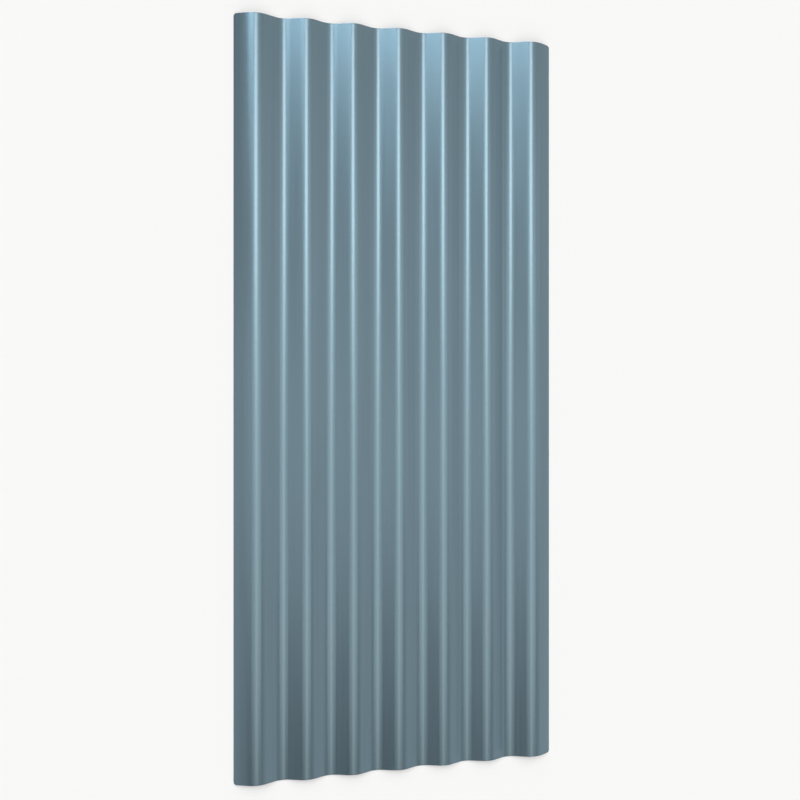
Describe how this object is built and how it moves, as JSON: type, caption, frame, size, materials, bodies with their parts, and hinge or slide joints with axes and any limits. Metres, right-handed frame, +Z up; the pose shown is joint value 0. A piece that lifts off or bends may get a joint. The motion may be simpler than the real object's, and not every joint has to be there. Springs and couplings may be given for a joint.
{
  "type": "corrugated metal roof panel",
  "caption": "Roll-formed corrugated steel roof sheet with a coloured coat, raised lap waves along both sides and square-cut ends.",
  "frame": {"origin": "middle of the sheet's footprint, on the plane that its two free edges rest on", "axes": "+X across the waves, +Y along the waves (the panel's length), +Z up out of the weather face"},
  "size_m": [0.36, 0.8, 0.0115],
  "materials": {
    "coated_steel": "glossy blue-grey metallic coat"
  },
  "bodies": {
    "root": {"corrugated_sheet": "coated_steel"}
  },
  "joints": []
}
